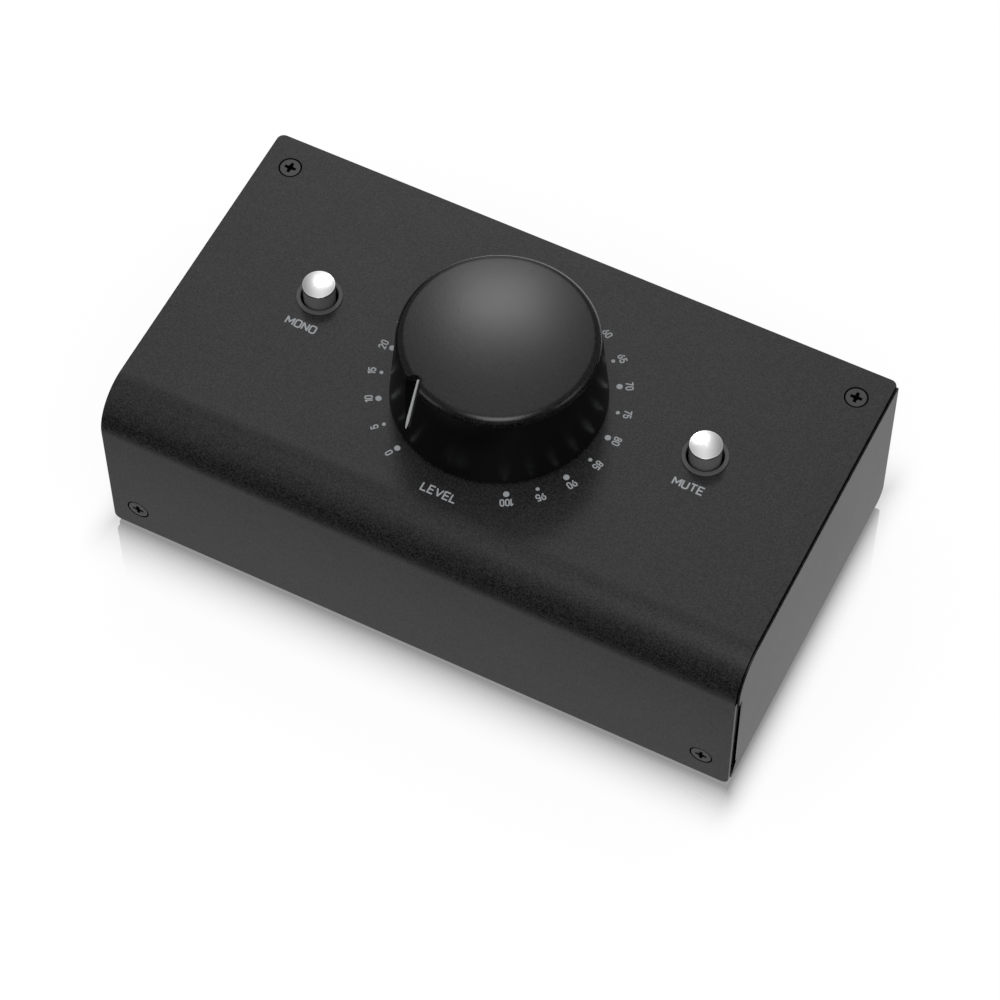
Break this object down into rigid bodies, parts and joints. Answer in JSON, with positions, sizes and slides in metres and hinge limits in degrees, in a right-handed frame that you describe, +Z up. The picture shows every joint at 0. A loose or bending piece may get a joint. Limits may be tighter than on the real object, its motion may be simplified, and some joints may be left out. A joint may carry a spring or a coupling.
{
  "type": "studio monitor controller",
  "caption": "Desktop loudspeaker level controller: low folded steel case with one large turning knob, two push buttons and sockets at the back.",
  "frame": {"origin": "centre of the object's plan at the height of the surface that it stands on", "axes": "+X to the right of someone facing the front, +Y from the front to the back with the sockets, +Z up, along the knob's axis"},
  "size_m": [0.1736, 0.0974, 0.0788],
  "materials": {
    "powder_coat": "fine-grained charcoal powder coat, satin",
    "black_screw": "black zinc plated steel, slightly glossy",
    "foot_rubber": "matte black rubber",
    "knob_plastic": "black moulded plastic, satin top and glossy skirt",
    "white_print": "light cool grey ink",
    "button_silver": "fine brushed silver",
    "black_plastic": "black moulded plastic, satin",
    "brass": "turned brass",
    "nickel": "nickel plated",
    "contact_metal": "bright silver plating",
    "circuit_board": "green solder mask",
    "ribbon_grey": "grey flat cable"
  },
  "bodies": {
    "case": {"top_cover": "powder_coat", "chassis": "powder_coat", "cover_screw_rear_left": "black_screw", "cover_screw_rear_right": "black_screw", "cover_screw_front_left": "black_screw", "cover_screw_front_right": "black_screw", "foot_front_left": "foot_rubber", "foot_front_right": "foot_rubber", "foot_rear_left": "foot_rubber", "foot_rear_right": "foot_rubber", "pot_body": "nickel", "pot_bushing": "brass", "pot_washer": "nickel", "pot_nut": "nickel", "mono_bezel_ring": "black_plastic", "mono_switch_body": "black_plastic", "mute_bezel_ring": "black_plastic", "mute_switch_body": "black_plastic", "control_board": "circuit_board", "control_standoff_left": "nickel", "control_standoff_right": "nickel", "control_board_screw_left": "black_screw", "control_board_screw_right": "black_screw", "jack_board": "circuit_board", "jack_standoff_left": "nickel", "jack_standoff_right": "nickel", "jack_board_screw_left": "black_screw", "jack_board_screw_right": "black_screw", "input_socket_left": "black_plastic", "input_socket_right": "black_plastic", "output_connector_left": "black_plastic", "output_connector_right": "black_plastic", "output_pin_left_1": "contact_metal", "output_pin_left_2": "contact_metal", "output_pin_left_3": "contact_metal", "output_pin_right_1": "contact_metal", "output_pin_right_2": "contact_metal", "output_pin_right_3": "contact_metal", "input_left_screw_upper": "black_screw", "input_left_screw_lower": "black_screw", "input_right_screw_upper": "black_screw", "input_right_screw_lower": "black_screw", "output_left_screw_upper": "black_screw", "output_left_screw_lower": "black_screw", "output_right_screw_upper": "black_screw", "output_right_screw_lower": "black_screw", "stereo_jack": "black_plastic", "stereo_jack_nut": "nickel", "ribbon_cable": "ribbon_grey", "ribbon_header_control": "black_plastic", "ribbon_header_jack": "black_plastic"},
    "volume": {"volume_knob": "knob_plastic", "knob_pointer": "white_print", "knob_insert": "brass", "pot_shaft": "nickel"},
    "mono_button": {"mono_button_cap": "button_silver", "mono_button_stem": "black_plastic"},
    "mute_button": {"mute_button_cap": "button_silver", "mute_button_stem": "black_plastic"}
  },
  "joints": [
    {"name": "volume_turn", "type": "hinge", "parent": "case", "child": "volume", "pos_m": [0, -0.00105, 0.0532], "axis": [0, 0, 1], "range_deg": [-300, 0]},
    {"name": "mono_press", "type": "slide", "parent": "case", "child": "mono_button", "axis": [0, 0, -1], "range_m": [0, 0.0025], "stiffness_N_per_m": 500, "springref_m": -0.0015},
    {"name": "mute_press", "type": "slide", "parent": "case", "child": "mute_button", "axis": [0, 0, -1], "range_m": [0, 0.0025], "stiffness_N_per_m": 500, "springref_m": -0.0015}
  ]
}
